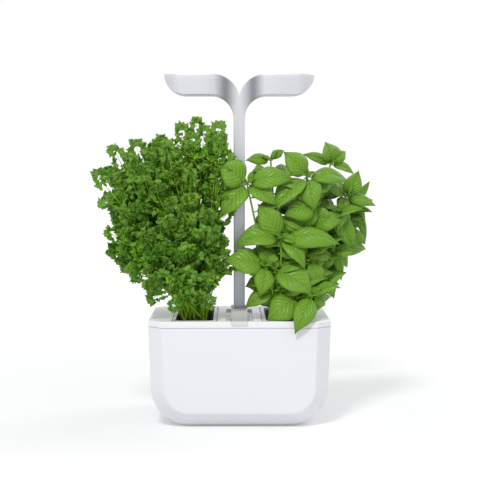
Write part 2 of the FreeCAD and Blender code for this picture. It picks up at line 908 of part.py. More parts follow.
def stalk(a, b, radius=stalk_radius):
    return Part.makeCylinder(radius, (b - a).Length, a, b - a)


def leaf(base, tip, width, facing):
    """Flat leaf from base to tip, widest before its middle, turned to look along facing."""
    along = tip - base
    normal = (facing - along * (facing.dot(along) / along.Length**2)).normalize()
    across = normal.cross(along).normalize() * (width / 2)
    shape = [(0.0, 0.12), (0.3, 0.9), (0.55, 0.95), (0.85, 0.45), (1.0, 0.05)]
    right = [base + along * share + across * wide for share, wide in shape]
    left = [base + along * share - across * wide for share, wide in reversed(shape)]
    face = Part.Face(Part.makePolygon(right + left + right[:1]))
    plate = face.extrude(normal * leaf_thickness)
    plate.translate(normal * (-leaf_thickness / 2))
    return plate


# Basil: foot of each stem on the soil, its top, and the tip and width of each leaf there.
basil = [
    ((40, -30), (12, -50, 266), [(-24, -62, 289, 26), (-21, -66, 232, 32), (59, -50, 275, 22), (41, -72, 243, 20)]),
    ((50, -15), (61, -40, 268), [(38, -55, 239, 24), (68, -20, 293, 20)]),
    ((52, 0), (77, -25, 275), [(59, -35, 293, 22), (80, -45, 238, 24), (50, -10, 263, 18), (87, -5, 304, 22)]),
    ((55, 20), (117, 5, 289), [(125, -20, 278, 20), (94, 0, 310, 24), (112, 25, 312, 20), (137, 20, 295, 22)]),
    ((58, 35), (136, 25, 274), [(139, 10, 253, 20), (155, 35, 274, 20), (124, 40, 284, 20)]),
    ((60, -20), (117, -30, 254), [(152, -45, 244, 24), (106, -52, 235, 26), (127, -18, 268, 20), (98, -20, 263, 22)]),
    ((56, -45), (105, -58, 241), [(104, -66, 216, 26), (81, -58, 234, 22), (124, -50, 233, 20)]),
    ((60, 25), (129, 30, 229), [(147, 25, 194, 22), (162, 48, 236, 20), (127, 10, 201, 22)]),
    ((45, -55), (47, -58, 206), [(23, -66, 243, 24), (-5, -70, 201, 24), (108, -62, 204, 28), (72, -76, 175, 26)]),
    ((40, -62), (31, -66, 177), [(-15, -74, 183, 20), (31, -50, 193, 18), (21, -79, 143, 24), (77, -78, 148, 26)]),
    ((56, -60), (82, -55, 147), [(31, -70, 122, 26), (61, -74, 121, 20), (104, -60, 136, 20), (102, -50, 162, 18)]),
    ((58, 5), (104, 0, 197), [(120, -12, 155, 24), (127, 12, 169, 20), (82, -15, 178, 22), (129, 0, 202, 20)]),
]

# Parsley: top of each stalk, with its foot on the soil spread by the same order.
parsley = [
    (-46, -45, 335), (-23, -42, 327), (-61, -52, 313), (-9, -45, 316), (-82, -8, 300), (-109, -30, 293),
    (-135, 5, 289), (-122, 22, 263), (-149, -50, 262), (-131, -42, 239), (-132, 12, 217), (-134, -45, 201),
    (-137, -18, 178), (-109, -55, 164), (-87, -62, 249), (-54, -66, 262), (-30, -48, 287), (-73, -72, 216),
    (-37, -68, 223), (-54, -75, 186), (-18, -54, 196), (-99, -66, 202), (-26, -74, 158), (-75, -76, 159),
]
parsley_reach = 14.0
parsley_width = 25.0
parsley_foot_spread = 13.0
parsley_foot_pitch = 4.6
parsley_foot_front = -60.0
parsley_fan_turn = 62.0
parsley_rear_top = 296.0
parsley_stem_side = -30.0
basil_breadth = 1.25


def basil_plant():
    pieces = []
    for (foot_x, foot_y), top, leaves in basil:
        foot = Vector(foot_x, foot_y, soil_top)
        crown = Vector(*top)
        pieces.append(stalk(foot, crown))
        for x, y, z, width in leaves:
            tip = Vector(x, y, z)
            pieces.append(leaf(crown, tip, width * basil_breadth, Vector(0, -1, 0.9)))
    return join_plant(pieces, soil_box(1))


def parsley_tops():
    """The listed tops, each with a lower one behind it that fills the plant's rear."""
    tops = []
    for x, y, z in parsley:
        tops.append((x, y, z))
        rear_x = min(0.85 * x - parsley_reach, parsley_stem_side)
        tops.append((rear_x, 0.5 * y + 40, min(z - parsley_reach, parsley_rear_top)))
    return tops


def parsley_plant():
    pieces = []
    tops = parsley_tops()
    for index, top in enumerate(tops):
        row = index * len(parsley) / len(tops)
        x = -(rim_inner + rim_outer) / 2 + parsley_foot_spread * math.sin(2.4 * index)
        foot = Vector(x, parsley_foot_front + parsley_foot_pitch * row, soil_top)
        crown = Vector(*top)
        pieces.append(stalk(foot, crown, parsley_stalk_radius))
        for turn in (-1, 0, 1):
            angle = math.radians(90 + (foot.x - crown.x) / 4 + parsley_fan_turn * turn)
            reach = Vector(math.cos(angle), -0.25, math.sin(angle)) * parsley_reach
            pieces.append(leaf(crown - reach * 0.2, crown + reach, parsley_width, Vector(0, -1, 0.6)))
    return join_plant(pieces, soil_box(-1))


def soil_box(side):
    """Thin pad of roots and shoots on the soil, which carries every stalk."""
    x0, x1, y0, y1 = cup_box(-cup_wall - 2)
    pad = box(x0, x1, y0, y1, soil_top, soil_top + pad_thickness)
    return pad if side > 0 else mirrored(pad)


def join_plant(pieces, pad):
    plant = pad.multiFuse(pieces).common(slab(soil_top, head_top))
    return max(plant.Solids, key=lambda solid: solid.Volume)


def main():
    os.makedirs("parts", exist_ok=True)
    save("outer_casing", outer_casing())
    save("casing_feet", casing_feet())
    save("water_tank", water_tank())
    save("deck_cover", deck_cover())
    save("stem_guide", stem_guide())
    save("guide_screws", guide_screws())
    save("lamp_lead", lamp_lead())
    save("board_lead", board_lead())
    save("electronics_box", electronics_box())
    save("box_screws", box_screws())
    save("control_board", control_board())
    save("power_inlet", power_inlet())
    save("tact_switch", tact_switch())
    save("power_button", power_button())
    save("height_clip", height_clip())
    front_shell, rear_shell = lamp_shells()
    save("lamp_front_shell", front_shell)
    save("lamp_rear_shell", rear_shell)
    save("shell_screws", shell_screws())
    save("lamp_foot", lamp_foot())
    for side, prefix in ((-1, "left_"), (1, "right_")):
        save(prefix + "diffuser", diffuser(side))
        save(prefix + "led_board", led_board(side))
        save(prefix + "leds", led_group(side))
        save(prefix + "ribbon", ribbon(side))
    save_pod("right_", lambda shape: shape)
    save_pod("left_", mirrored)
    save("parsley_plant", parsley_plant())
    save("basil_plant", basil_plant())


main()
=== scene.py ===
"""Looks of the countertop hydroponic garden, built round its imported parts. Lengths in metres."""

import json
import math
import random

import bpy
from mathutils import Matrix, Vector, noise


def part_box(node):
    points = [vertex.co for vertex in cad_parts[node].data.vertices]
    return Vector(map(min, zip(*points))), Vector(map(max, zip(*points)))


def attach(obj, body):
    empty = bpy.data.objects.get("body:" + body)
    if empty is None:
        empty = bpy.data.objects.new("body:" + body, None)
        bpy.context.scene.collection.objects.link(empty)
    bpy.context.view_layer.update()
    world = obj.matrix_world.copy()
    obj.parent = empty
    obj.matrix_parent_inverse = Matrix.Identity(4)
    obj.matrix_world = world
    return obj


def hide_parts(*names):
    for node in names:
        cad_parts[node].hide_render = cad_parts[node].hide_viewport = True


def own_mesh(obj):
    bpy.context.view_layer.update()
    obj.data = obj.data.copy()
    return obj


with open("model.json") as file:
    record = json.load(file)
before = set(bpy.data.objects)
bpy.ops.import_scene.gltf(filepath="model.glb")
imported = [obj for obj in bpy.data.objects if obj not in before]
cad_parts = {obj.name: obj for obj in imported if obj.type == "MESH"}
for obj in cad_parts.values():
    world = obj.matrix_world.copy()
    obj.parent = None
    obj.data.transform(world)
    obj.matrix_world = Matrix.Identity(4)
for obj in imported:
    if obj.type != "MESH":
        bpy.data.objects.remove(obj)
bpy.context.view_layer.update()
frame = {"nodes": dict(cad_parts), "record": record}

MM = 0.001
UP = Vector((0, 0, 1))
RIGHT = Vector((1, 0, 0))
TOWARDS_VIEWER = Vector((0, -1, 0))

# Where the photograph was taken from
camera_spot = Vector((-9.3, -1533.0, 283.7)) * MM
camera_target = Vector((0.4, -84.0, 206.0)) * MM
camera_lens = 100.8
camera_sensor = 36.0

# Studio: light from the surroundings, how white the camera sees them, the floor and its glow, and two lamps
fill_light = 0.6
backdrop_white = 1.0
floor_half = 30.0
floor_glow_share = 0.2
floor_glow_near = 1.35
floor_glow_far = 3.1
glow_rise_start = 0.2
glow_rise_end = 2.2
lamps_aim = (0, 0, 0.2)
key_spot = (-0.45, -1.6, 1.85)
key_size = (0.4, 0.4)
key_power = 24.5
rim_spot = (1.2, 0.9, 1.4)
rim_size = (1.0, 1.0)
rim_power = 7.0

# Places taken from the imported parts
soil_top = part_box("left_substrate")[1].z
lid_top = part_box("deck_cover")[1].z
head_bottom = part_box("left_diffuser")[0].z
head_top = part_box("lamp_front_shell")[1].z
stem_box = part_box("lamp_foot")

# How far a pod lifts
pod_lift = 0.05

# Moulded plastic: the radius that softens its edges
moulded_edge = 0.4 * MM

# Brushed aluminium: its grain, the heights at which the arms leave the stem, bend and reach their crest,
# where painted shade and a painted highlight go, and how high painted shade reaches up the stem
brush_scale = 1700.0
brush_stretch = 0.012
arm_start = head_bottom - 0.03
arm_full = head_bottom - 0.01
bend_start = head_bottom - 0.024
bend_full = head_bottom - 0.008
crest_start = head_top - 0.0055
crest_full = head_top - 0.0035
shaded_stem = 0.16

# Both plants: sweep of the veins, how thin a leaf is at its edge, and how far forward the foliage leans
vein_sweep = 0.42
leaf_edge_share = 0.35
front_limit = -0.092
past_front_share = 0.25

# Basil: its seed for random draws, its blade, how its stems lean and taper, its youngest leaves, and its
# side leaves
basil_seed = 7
basil_veins = 6.0
basil_thickness = 0.45 * MM
rib_slope = 0.42
pucker = 0.08
ripple = 0.05
blade_end = 0.02
basil_lean = 0.012
basil_foot_radius = 1.8 * MM
basil_taper = 0.9 * MM
basil_fullness = 1.12
young_shortest = 0.008
young_longest = 0.013
young_width = 0.007
side_stalk = 0.005
side_shortest = 0.024
side_longest = 0.036
side_narrowest = 0.02
side_widest = 0.029
side_stem_gap = 0.014
side_middle_gap = 0.006
side_lid_gap = 0.012
side_front = -0.062

# Parsley: its seed for random draws, its leaflets and fronds, how its stalks lean and taper, the spot round
# which painted light brightens its tops, and the space that the lamp leaves it
parsley_seed = 11
parsley_veins = 5.0
parsley_thickness = 0.35 * MM
leaflet_rings = 3
leaflet_spokes = 11
leaflet_heart = 0.06
lobe_depth = 0.42
tooth_depth = 0.2
frond_rib = 0.66
frond_shortest = 0.019
frond_longest = 0.026
parsley_stalks = 175
parsley_lean = 0.015
parsley_foot_radius = 0.95 * MM
parsley_taper = 0.5 * MM
painted_light_spot = Vector((-62, -50, 285)) * MM
painted_light_reach = 0.06
painted_light_lift = 0.5
parsley_rear = 0.052
parsley_stem_gap = 0.024
lamp_half_width = 0.112
lamp_half_depth = 0.048
frond_height = 0.026

# Feet of the parsley stalks on the soil: rows to the rear that swing from side to side, in millimetres
foot_rows = 24
foot_spacing = 4.6
foot_front = -60
foot_middle = -49.5
foot_spread = 13
foot_turn = 2.4

# Each pair of leaflets of a frond: place on the rib, angle from it in degrees, and size
frond_pairs = ((0.7, 46, 0.27), (0.5, 56, 0.3), (0.3, 66, 0.3), (0.1, 76, 0.27))

# Substrate: its seeds for random draws, the grid of its uneven top, and the crumbs on it
left_soil_seed = 3
right_soil_seed = 5
soil_columns = 36
soil_lines = 120
soil_margin = 1.6 * MM
fine_lumps = 900
coarse_lumps = 320
crumbs = 420
crumb_margin = 2.5 * MM


# Camera, light and floor

def add_camera():
    data = bpy.data.cameras.new("camera")
    data.lens = camera_lens
    data.sensor_width = camera_sensor
    data.clip_start = 0.05
    camera = bpy.data.objects.new("camera", data)
    camera.location = camera_spot
    camera.rotation_euler = (camera_target - camera_spot).to_track_quat("-Z", "Y").to_euler()
    bpy.context.scene.collection.objects.link(camera)
    bpy.context.scene.camera = camera


def add_lamp(name, spot, target, size, power):
    data = bpy.data.lights.new(name, "AREA")
    data.shape = "RECTANGLE"
    data.size, data.size_y = size
    data.energy = power
    lamp = bpy.data.objects.new(name, data)
    lamp.location = Vector(spot)
    lamp.rotation_euler = (Vector(target) - Vector(spot)).to_track_quat("-Z", "Y").to_euler()
    bpy.context.scene.collection.objects.link(lamp)


def add_world(fill, backdrop):
    """Soft white surroundings: backdrop is what camera, mirror and glass rays see, fill lights the rest."""
    world = bpy.data.worlds.new("studio")
    bpy.context.scene.world = world
    world.use_nodes = True
    nodes = world.node_tree.nodes
    links = world.node_tree.links
    nodes.clear()
    output = nodes.new("ShaderNodeOutputWorld")
    paths = nodes.new("ShaderNodeLightPath")
    seen = nodes.new("ShaderNodeMath")
    seen.operation = "MAXIMUM"
    links.new(paths.outputs["Is Camera Ray"], seen.inputs[0])
    links.new(paths.outputs["Is Glossy Ray"], seen.inputs[1])
    through = nodes.new("ShaderNodeMath")
    through.operation = "MAXIMUM"
    links.new(seen.outputs[0], through.inputs[0])
    links.new(paths.outputs["Is Transmission Ray"], through.inputs[1])
    soft = nodes.new("ShaderNodeBackground")
    soft.inputs["Color"].default_value = (0.97, 0.985, 1.0, 1)
    soft.inputs["Strength"].default_value = fill
    plain = nodes.new("ShaderNodeBackground")
    plain.inputs["Color"].default_value = (1, 1, 1, 1)
    plain.inputs["Strength"].default_value = backdrop
    mix = nodes.new("ShaderNodeMixShader")
    links.new(through.outputs[0], mix.inputs["Fac"])
    links.new(soft.outputs[0], mix.inputs[1])
    links.new(plain.outputs[0], mix.inputs[2])
    links.new(mix.outputs[0], output.inputs["Surface"])


def floor_material():
    """White paper, with a glow for the camera alone that rises with the distance from the object."""
    material = bpy.data.materials.new("floor")
    material.use_nodes = True
    nodes = material.node_tree.nodes
    links = material.node_tree.links
    nodes.clear()
    output = nodes.new("ShaderNodeOutputMaterial")
    paths = nodes.new("ShaderNodeLightPath")
    share = nodes.new("ShaderNodeMath")
    share.operation = "MULTIPLY"
    share.inputs[1].default_value = floor_glow_share
    links.new(paths.outputs["Is Camera Ray"], share.inputs[0])
    paper = nodes.new("ShaderNodeBsdfDiffuse")
    paper.inputs["Color"].default_value = (0.93, 0.93, 0.93, 1)
    glow = nodes.new("ShaderNodeEmission")
    glow.inputs["Color"].default_value = (1, 1, 1, 1)
    place = nodes.new("ShaderNodeTexCoord")
    away = nodes.new("ShaderNodeVectorMath")
    away.operation = "LENGTH"
    links.new(place.outputs["Object"], away.inputs[0])
    rise = nodes.new("ShaderNodeMapRange")
    rise.inputs["From Min"].default_value = glow_rise_start
    rise.inputs["From Max"].default_value = glow_rise_end
    rise.inputs["To Min"].default_value = floor_glow_near
    rise.inputs["To Max"].default_value = floor_glow_far
    links.new(away.outputs["Value"], rise.inputs["Value"])
    links.new(rise.outputs["Result"], glow.inputs["Strength"])
    mix = nodes.new("ShaderNodeMixShader")
    links.new(share.outputs[0], mix.inputs["Fac"])
    links.new(paper.outputs[0], mix.inputs[1])
    links.new(glow.outputs[0], mix.inputs[2])
    links.new(mix.outputs[0], output.inputs["Surface"])
    return material


def add_floor():
    near, far = -floor_half, floor_half
    mesh = bpy.data.meshes.new("floor")
    corners = [(near, near, 0), (far, near, 0), (far, far, 0), (near, far, 0)]
    mesh.from_pydata(corners, [], [(0, 1, 2, 3)])
    floor = bpy.data.objects.new("floor", mesh)
    bpy.context.scene.collection.objects.link(floor)
    mesh.materials.append(floor_material())


# Materials

class Surface:
    """A node-based material, with short ways to add the textures that it needs."""

    def __init__(self, name, color, roughness, metallic=0.0):
        self.material = bpy.data.materials.new(name)
        self.material.use_nodes = True
        self.nodes = self.material.node_tree.nodes
        self.links = self.material.node_tree.links
        self.shader = self.nodes["Principled BSDF"]
        self.color = (*color, 1)
        self.shader.inputs["Base Color"].default_value = self.color
        self.shader.inputs["Roughness"].default_value = roughness
        self.shader.inputs["Metallic"].default_value = metallic
        self.place = self.nodes.new("ShaderNodeTexCoord").outputs["Object"]
        self.normal = None

    def set(self, **values):
        for key, value in values.items():
            self.shader.inputs[key.replace("_", " ")].default_value = value
        return self

    def noise(self, scale, detail=4.0, stretch=(1, 1, 1), rough=0.5):
        mapping = self.nodes.new("ShaderNodeMapping")
        mapping.inputs["Scale"].default_value = [scale * s for s in stretch]
        self.links.new(self.place, mapping.inputs["Vector"])
        texture = self.nodes.new("ShaderNodeTexNoise")
        texture.inputs["Scale"].default_value = 1.0
        texture.inputs["Detail"].default_value = detail
        texture.inputs["Roughness"].default_value = rough
        self.links.new(mapping.outputs["Vector"], texture.inputs["Vector"])
        return texture.outputs["Fac"]

    def cells(self, scale):
        mapping = self.nodes.new("ShaderNodeMapping")
        mapping.inputs["Scale"].default_value = [scale] * 3
        self.links.new(self.place, mapping.inputs["Vector"])
        texture = self.nodes.new("ShaderNodeTexVoronoi")
        texture.inputs["Scale"].default_value = 1.0
        self.links.new(mapping.outputs["Vector"], texture.inputs["Vector"])
        return texture.outputs["Distance"]

    def between(self, value, low, high, out_low=0.0, out_high=1.0):
        node = self.nodes.new("ShaderNodeMapRange")
        node.inputs["From Min"].default_value = low
        node.inputs["From Max"].default_value = high
        node.inputs["To Min"].default_value = out_low
        node.inputs["To Max"].default_value = out_high
        self.links.new(value, node.inputs["Value"])
        return node.outputs["Result"]

    def math(self, operation, a, b=None):
        node = self.nodes.new("ShaderNodeMath")
        node.operation = operation
        for socket, value in zip(node.inputs, (a, b)):
            if value is None:
                continue
            if isinstance(value, (int, float)):
                socket.default_value = value
            else:
                self.links.new(value, socket)
        return node.outputs[0]

    def mix(self, factor, a, b):
        node = self.nodes.new("ShaderNodeMix")
        node.data_type = "RGBA"
        self.links.new(factor, node.inputs["Factor"])
        for socket, value in ((node.inputs[6], a), (node.inputs[7], b)):
            if isinstance(value, (tuple, list)):
                socket.default_value = (*value[:3], 1)
            else:
                self.links.new(value, socket)
        return node.outputs[2]

    def mark(self, name):
        node = self.nodes.new("ShaderNodeAttribute")
        node.attribute_name = name
        return node.outputs["Fac"]

    def paint(self, color):
        self.links.new(color, self.shader.inputs["Base Color"])
        return self

    def vary(self, scale, amount):
        """Slight unevenness of the colour over the surface."""
        darker = [c * (1 - amount) for c in self.color[:3]]
        lighter = [min(1, c * (1 + amount)) for c in self.color[:3]]
        patches = self.between(self.noise(scale, 3.0), 0.35, 0.65)
        return self.paint(self.mix(patches, darker, lighter))

    def rough(self, value, low, high):
        self.links.new(self.between(value, 0.3, 0.7, low, high), self.shader.inputs["Roughness"])
        return self

    def bump(self, height, strength, distance):
        node = self.nodes.new("ShaderNodeBump")
        node.inputs["Strength"].default_value = strength
        node.inputs["Distance"].default_value = distance
        self.links.new(height, node.inputs["Height"])
        if self.normal is not None:
            self.links.new(self.normal, node.inputs["Normal"])
        self.normal = node.outputs["Normal"]
        self.links.new(self.normal, self.shader.inputs["Normal"])
        return self

    def soft_edges(self, radius):
        node = self.nodes.new("ShaderNodeBevel")
        node.samples = 6
        node.inputs["Radius"].default_value = radius
        self.normal = node.outputs["Normal"]
        self.links.new(self.normal, self.shader.inputs["Normal"])
        return self


def moulded(name, color, roughness, coat=0.0):
    """Moulded plastic: an even colour, a barely uneven gloss and softened edges."""
    surface = Surface(name, color, roughness).soft_edges(moulded_edge)
    surface.vary(14.0, 0.004)
    surface.rough(surface.noise(30.0, 2.0), roughness * 0.96, roughness * 1.05)
    surface.bump(surface.noise(2600.0, 2.0), 0.03, 0.01 * MM)
    return surface.set(Coat_Weight=coat, Coat_Roughness=0.1).material


def brushed_aluminium():
    """Satin aluminium, brushed up the stem and along the arms, with painted shade at the bends and low on the
    stem and a painted highlight along the crest of the arms.
    """
    # dark is the colour of the painted shade; bright serves both the grain and the painted highlight
    bright, mid, dark = (0.78, 0.79, 0.82), (0.62, 0.635, 0.675), (0.15, 0.155, 0.18)
    surface = Surface("brushed_aluminium", mid, 0.36, 1.0).soft_edges(1.6 * MM)
    split = surface.nodes.new("ShaderNodeSeparateXYZ")
    surface.links.new(surface.place, split.inputs[0])
    height = split.outputs["Z"]
    aside = surface.math("ABSOLUTE", split.outputs["X"])
    on_arm = surface.between(height, arm_start, arm_full)
    up_stem = surface.noise(brush_scale, 4.0, (1, 1, brush_stretch), 0.65)
    along_arm = surface.noise(brush_scale, 4.0, (brush_stretch, 1, 1), 0.65)
    arm_share = surface.math("MULTIPLY", along_arm, on_arm)
    stem_share = surface.math("MULTIPLY", up_stem, surface.math("SUBTRACT", 1.0, on_arm))
    streaks = surface.math("ADD", arm_share, stem_share)
    past_stem = surface.between(aside, 0.002, 0.014)
    before_arm = surface.between(aside, 0.017, 0.028, 1, 0)
    turn = surface.math("MULTIPLY", past_stem, before_arm)
    # Painted shade where each arm turns away from the stem, at the bend
    painted_bend_shade = surface.math("MULTIPLY", turn, surface.between(height, bend_start, bend_full))
    # Painted highlight along the crest of the arms
    painted_crest_highlight = surface.math("MULTIPLY", surface.between(height, crest_start, crest_full), on_arm)
    # Painted shade low on the stem, darkest at the lid
    low = surface.between(height, lid_top, lid_top + shaded_stem, 0.55, 0.0)
    color = surface.mix(surface.between(streaks, 0.3, 0.7, 0.35, 0.65), mid, bright)
    color = surface.mix(surface.math("MULTIPLY", painted_crest_highlight, 0.5), color, bright)
    color = surface.mix(surface.math("MULTIPLY", painted_bend_shade, 0.72), color, dark)
    color = surface.mix(low, color, dark)
    surface.paint(color)
    surface.rough(streaks, 0.32, 0.44)
    surface.bump(streaks, 0.1, 0.03 * MM)
    return surface.material


def rubber(name, color):
    surface = Surface(name, color, 0.75)
    surface.vary(120.0, 0.12)
    return surface.bump(surface.noise(900.0), 0.25, 0.05 * MM).material


def soil():
    surface = Surface("substrate_soil", (0.03, 0.024, 0.011), 0.92)
    # Darker in the hollows of the bumps, lighter on the lumps
    hollow_color, lump_color = (0.008, 0.006, 0.003), (0.075, 0.055, 0.022)
    clumps = surface.noise(260.0, 6.0)
    surface.paint(surface.mix(surface.between(clumps, 0.35, 0.7), hollow_color, lump_color))
    return surface.bump(clumps, 0.9, 0.8 * MM).material


def felt():
    surface = Surface("wick_felt", (0.6, 0.57, 0.48), 0.95)
    fibres = surface.noise(1800.0, 5.0, (1, 1, 0.2))
    surface.vary(200.0, 0.1)
    surface.set(Sheen_Weight=0.4)
    return surface.bump(fibres, 0.5, 0.2 * MM).material


def circuit(name, color, line_color):
    surface = Surface(name, color, 0.4)
    tracks = surface.cells(420.0)
    surface.paint(surface.mix(surface.between(tracks, 0.1, 0.2), line_color, color))
    return surface.bump(tracks, 0.2, 0.03 * MM).material


def steel():
    surface = Surface("screw_steel", (0.5, 0.5, 0.52), 0.35, 1.0)
    turned = surface.noise(1500.0, 2.0)
    surface.rough(turned, 0.25, 0.45)
    return surface.bump(turned, 0.1, 0.02 * MM).material


def leaf_skin(name, dark, light, young, under, veins, gloss, relief):
    """Leaf surface: a tone for each leaf, in part painted light, painted shade toward its rib, raised between
    its side veins, paler on the veins, duller below.
    """
    surface = Surface(name, dark, gloss)
    across = surface.mark("across")
    along = surface.mark("along")
    tone = surface.mark("tone")
    below = surface.mark("below")
    distance = surface.math("ABSOLUTE", across)
    mottled = surface.noise(260.0, 3.0)
    body = surface.mix(surface.between(tone, 0.0, 0.8), dark, light)
    body = surface.mix(surface.between(tone, 0.8, 1.0), body, young)
    body = surface.mix(surface.between(mottled, 0.35, 0.75, 0.0, 0.25), body, light)
    # Painted shade: each leaf darker toward its middle, along its rib
    body = surface.mix(surface.between(distance, 0.0, 0.8, 0.25, 0.0), body, dark)
    rib = surface.between(distance, 0.015, 0.075, 1.0, 0.0)
    phase = surface.math("SUBTRACT", surface.math("MULTIPLY", along, veins),
                         surface.math("MULTIPLY", distance, vein_sweep * veins))
    wave = surface.math("ABSOLUTE", surface.math("SINE", surface.math("MULTIPLY", phase, math.pi)))
    side = surface.between(wave, 0.02, 0.3, 1.0, 0.0)
    fade = surface.between(distance, 0.55, 0.95, 1.0, 0.0)
    side_lines = surface.math("MULTIPLY", surface.math("MULTIPLY", side, fade), 0.7)
    lines = surface.math("MAXIMUM", rib, side_lines)
    rim = surface.between(distance, 0.93, 1.0, 0.0, 0.5)
    pale = [min(1.0, c * 1.6 + 0.05) for c in light]
    body = surface.mix(surface.math("MULTIPLY", lines, 0.45), body, pale)
    body = surface.mix(rim, body, pale)
    body = surface.mix(below, body, under)
    surface.paint(body)
    surface.rough(mottled, gloss * 0.85, gloss * 1.2)
    swell = surface.math("MULTIPLY", surface.math("POWER", wave, 0.6), fade)
    raised = surface.math("MULTIPLY", swell, 0.6)
    sunken = surface.math("MULTIPLY", rib, -0.4)
    dents = surface.math("ADD", raised, sunken)
    surface.bump(dents, 0.85, relief)
    surface.set(Subsurface_Weight=0.12, Subsurface_Radius=(0.5, 1.0, 0.1), Subsurface_Scale=1.0 * MM)
    return surface.set(Specular_IOR_Level=0.22).material


def dress(materials):
    """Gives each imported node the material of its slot."""
    for part in frame["record"]["subparts"]:
        node = frame["nodes"][part["node"]]
        node.data.materials.clear()
        node.data.materials.append(materials[part["material_slot"]])


# Foliage

class Foliage:
    """Collects leaves and stalks, each closed, into one mesh with the values that the leaf material reads."""

    def __init__(self):
        self.points = []
        self.faces = []
        self.marks = []

    def sheet(self, rows, tone, thickness):
        """Leaf blade from rows of (point, across, along), given thickness and a closed rim."""
        height = len(rows)
        width = len(rows[0])
        start = len(self.points)

        def spot(i, j):
            return rows[max(0, min(height - 1, i))][max(0, min(width - 1, j))][0]

        for level in (0.5, -0.5):
            for i in range(height):
                for j in range(width):
                    point, across, along = rows[i][j]
                    normal = (spot(i, j + 1) - spot(i, j - 1)).cross(spot(i + 1, j) - spot(i - 1, j))
                    if normal.length < 1e-12:
                        normal = (spot(1, width - 1) - spot(1, 0)).cross(spot(height - 1, 1) - spot(0, 1))
                    at_edge = i in (0, height - 1) or j in (0, width - 1)
                    share = leaf_edge_share if at_edge else 1.0
                    self.points.append(point + normal.normalized() * (level * thickness * share))
                    self.marks.append((across, along, tone, 0.0 if level > 0 else 1.0))
        layer = height * width

        def index(level, i, j):
            return start + level * layer + i * width + j

        for i in range(height - 1):
            for j in range(width - 1):
                quad = ((i, j), (i, j + 1), (i + 1, j + 1), (i + 1, j))
                self.faces.append(tuple(index(0, *c) for c in quad))
                self.faces.append(tuple(index(1, *c) for c in reversed(quad)))
        rim = [(0, j) for j in range(width)]
        rim += [(i, width - 1) for i in range(1, height)]
        rim += [(height - 1, j) for j in range(width - 2, -1, -1)]
        rim += [(i, 0) for i in range(height - 2, 0, -1)]
        for a, b in zip(rim, rim[1:] + rim[:1]):
            self.faces.append((index(0, *b), index(0, *a), index(1, *a), index(1, *b)))

    def tube(self, path, radii, tone, sides=6):
        """Stalk along path, closed at both ends."""
        start = len(self.points)
        for i, point in enumerate(path):
            ahead = path[min(i + 1, len(path) - 1)] - path[max(i - 1, 0)]
            ahead.normalize()
            first = ahead.orthogonal().normalized() if abs(ahead.z) > 0.95 else ahead.cross(UP).normalized()
            second = ahead.cross(first)
            for k in range(sides):
                turn = 2 * math.pi * k / sides
                self.points.append(point + (first * math.cos(turn) + second * math.sin(turn)) * radii[i])
                self.marks.append((0.4, 0.5, tone, 0.0))
        for i in range(len(path) - 1):
            for k in range(sides):
                a = start + i * sides + k
                b = start + i * sides + (k + 1) % sides
                self.faces.append((a, b, b + sides, a + sides))
        self.faces.append(tuple(start + k for k in reversed(range(sides))))
        last = start + (len(path) - 1) * sides
        self.faces.append(tuple(last + k for k in range(sides)))

    def build(self, name, material):
        """Mesh of all that was collected, held back where it leans past the front limit."""
        for point in self.points:
            if point.y < front_limit:
                point.y = front_limit + (point.y - front_limit) * past_front_share
        mesh = bpy.data.meshes.new(name)
        mesh.from_pydata(self.points, [], self.faces)
        for position, key in enumerate(("across", "along", "tone", "below")):
            attribute = mesh.attributes.new(key, "FLOAT", "POINT")
            attribute.data.foreach_set("value", [mark[position] for mark in self.marks])
        mesh.polygons.foreach_set("use_smooth", [True] * len(mesh.polygons))
        mesh.materials.append(material)
        mesh.update()
        piece = bpy.data.objects.new(name, mesh)
        bpy.context.scene.collection.objects.link(piece)
        return piece


def curved(a, b, sag, count):
    """Points from a to b along a line that leaves upwards and leans over by sag."""
    control = a.lerp(b, 0.45) + UP * sag
    points = []
    for i in range(count + 1):
        t = i / count
        points.append(a.lerp(control, t).lerp(control.lerp(b, t), t))
    return points


def basil_outline(t):
    """Width of the blade at t from its base to its tip, as a share of the widest place."""
    return max(blade_end, math.sin(math.pi * t ** 0.76)) ** (0.6 + 0.55 * t)


def basil_lift(s, t, dome, twist):
    """Height of the blade beside its rib, from a dome, puckers between veins, ripples and a twist."""
    side = abs(s)
    groove = abs(math.sin(math.pi * basil_veins * (t - vein_sweep * side))) ** 0.7
    lift = rib_slope * side - dome * side * side
    lift += pucker * groove * side * (1.15 - side) * math.sin(math.pi * t)
    lift += ripple * math.sin(11 * t + 5 * s + 9 * dome) * side
    lift += twist * s * (t - 0.4) * 0.7
    return lift


def basil_blade(foliage, rng, base, tip, width, facing, tone, steps=16, halves=5):
    """Ovate leaf, pointed at its tip, that bows over from its base."""
    along = tip - base
    length = along.length
    normal = (facing - along * (facing.dot(along) / along.length_squared)).normalized()
    across = normal.cross(along).normalized()
    bow = rng.uniform(0.08, 0.2)
    droop = rng.uniform(0.05, 0.16)
    dome = rng.uniform(0.25, 0.8)
    twist = rng.uniform(-0.35, 0.35)
    rows = []
    for i in range(steps + 1):
        t = i / steps
        reach = basil_outline(t) if i < steps else blade_end
        rise = bow * math.sin(math.pi * t ** 0.9) - droop * t ** 4
        spine = base + along * t + normal * (length * rise)
        row = []
        for j in range(-halves, halves + 1):
            s = j / halves
            aside = across * s + normal * basil_lift(s, t, dome, twist)
            row.append((spine + aside * (reach * width / 2), s, t))
        rows.append(row)
    foliage.sheet(rows, tone, basil_thickness)


